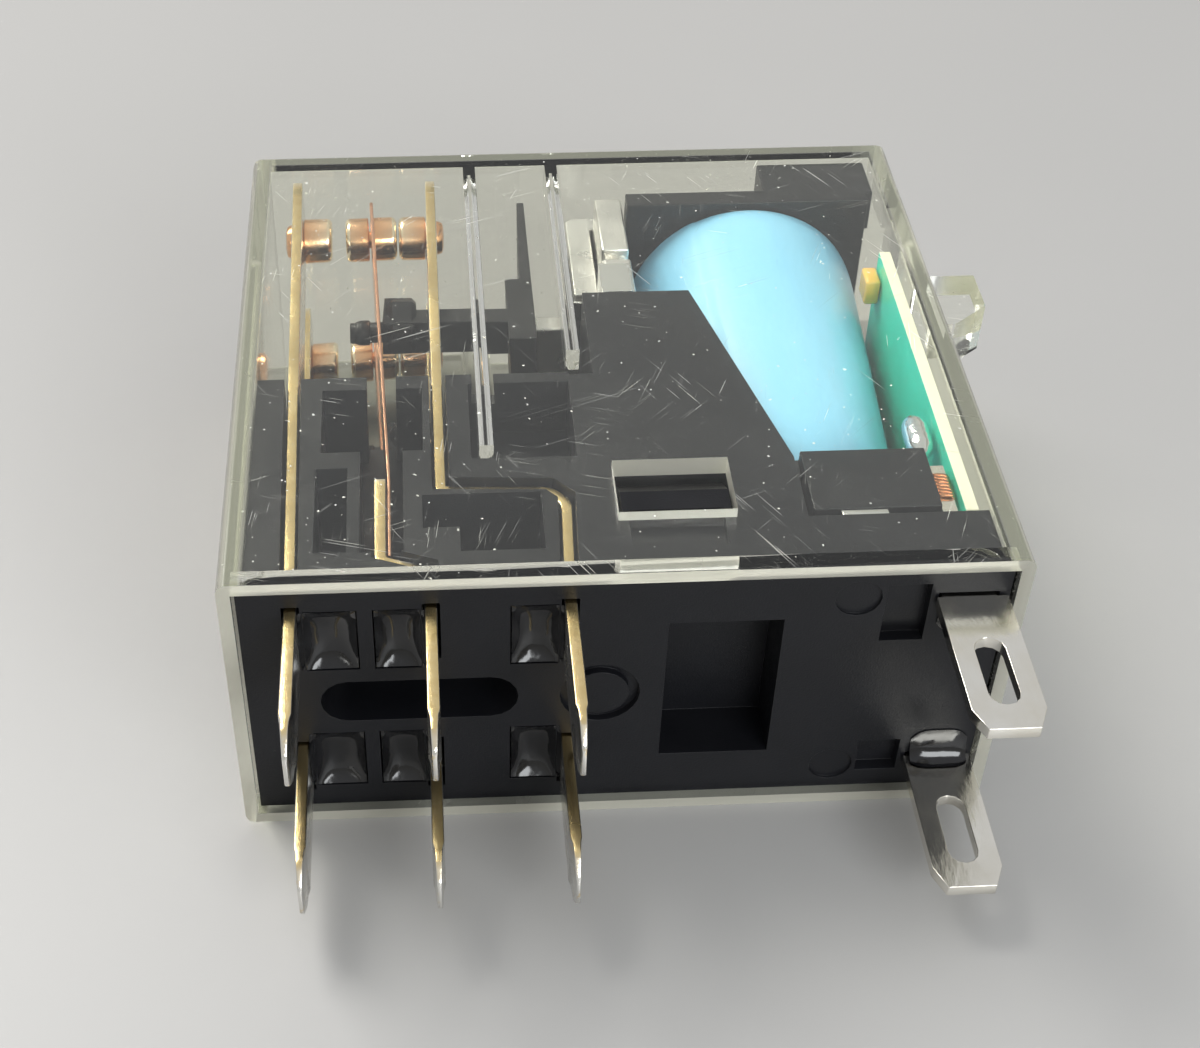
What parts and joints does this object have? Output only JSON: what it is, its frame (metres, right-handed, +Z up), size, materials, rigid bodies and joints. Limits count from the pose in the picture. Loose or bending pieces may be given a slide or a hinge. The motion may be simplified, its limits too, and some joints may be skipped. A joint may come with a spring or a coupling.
{
  "type": "plug-in relay",
  "caption": "Plug-in power relay: clear cover, black base, changeover contacts moved by a card and a hinged armature, coil with tape, and flat plug pins.",
  "frame": {"origin": "middle of the lower large face of the cover, the face that the relay lies on", "axes": "+X across the rim towards the coil, +Y from the pins towards the closed end of the cover, +Z up through the thickness"},
  "size_m": [0.0309, 0.0346, 0.0128],
  "materials": {
    "clear_cover": "clear, polished",
    "base_plastic": "satin black moulding",
    "card_plastic": "satin black moulding",
    "bobbin_plastic": "satin black moulding",
    "terminal_brass": "silvered, worn to brass at the edges",
    "coil_pin": "tinned",
    "sealing_resin": "glossy cast resin",
    "contact_silver": "silver alloy",
    "spring_bronze": "polished strip",
    "copper_wire": "enamelled copper",
    "solder": "bright",
    "magnet_iron": "nickel plated",
    "spring_steel": "bright strip",
    "coil_tape": "light blue film tape",
    "board": "cream board, green mask on one side",
    "lamp_amber": "amber lens",
    "chip_black": "moulded chip"
  },
  "bodies": {
    "housing": {"cover": "clear_cover", "base": "base_plastic", "bobbin": "bobbin_plastic", "terminal_no_upper": "terminal_brass", "resin_no_upper": "sealing_resin", "terminal_com_upper": "terminal_brass", "resin_com_upper": "sealing_resin", "terminal_nc_upper": "terminal_brass", "resin_nc_upper": "sealing_resin", "coil_terminal_upper": "coil_pin", "resin_coil_upper": "sealing_resin", "contact_no_upper": "contact_silver", "contact_nc_upper": "contact_silver", "coil_lead_upper": "copper_wire", "solder_joint_upper": "solder", "terminal_no_lower": "terminal_brass", "resin_no_lower": "sealing_resin", "terminal_com_lower": "terminal_brass", "resin_com_lower": "sealing_resin", "terminal_nc_lower": "terminal_brass", "resin_nc_lower": "sealing_resin", "coil_terminal_lower": "coil_pin", "resin_coil_lower": "sealing_resin", "contact_no_lower": "contact_silver", "contact_nc_lower": "contact_silver", "coil_lead_lower": "copper_wire", "solder_joint_lower": "solder", "yoke": "magnet_iron", "core": "magnet_iron", "hinge_spring": "spring_steel", "locking_strip": "spring_steel", "coil_winding": "copper_wire", "coil_tape": "coil_tape", "circuit_board": "board", "led": "lamp_amber", "resistor": "chip_black", "diode": "chip_black"},
    "armature": {"armature": "magnet_iron"},
    "card": {"card": "card_plastic"},
    "spring_upper": {"moving_spring_upper": "spring_bronze", "moving_contact_upper": "contact_silver"},
    "spring_lower": {"moving_spring_lower": "spring_bronze", "moving_contact_lower": "contact_silver"}
  },
  "joints": [
    {"name": "armature_pivot", "type": "hinge", "parent": "housing", "child": "armature", "pos_m": [0.0008, 0.0116, 0.0064], "axis": [0, 0, -1], "range_deg": [0, 3.73], "stiffness_Nm_per_rad": 0.004, "springref_deg": -2.86},
    {"name": "card_swing", "type": "hinge", "parent": "housing", "child": "card", "pos_m": [-0.00843, -0.0076, 0.0064], "axis": [0, 0, 1], "range_deg": [0, 1.58]},
    {"name": "spring_bend_upper", "type": "hinge", "parent": "housing", "child": "spring_upper", "pos_m": [-0.00843, -0.0076, 0.00995], "axis": [0, 0, 1], "range_deg": [0, 1.58]},
    {"name": "spring_bend_lower", "type": "hinge", "parent": "housing", "child": "spring_lower", "pos_m": [-0.00843, -0.0076, 0.00285], "axis": [0, 0, 1], "range_deg": [0, 1.58]}
  ],
  "couplings": [
    {"joint": "card_swing", "follows": "armature_pivot", "ratio": 0.422},
    {"joint": "spring_bend_upper", "follows": "armature_pivot", "ratio": 0.422},
    {"joint": "spring_bend_lower", "follows": "armature_pivot", "ratio": 0.422}
  ]
}
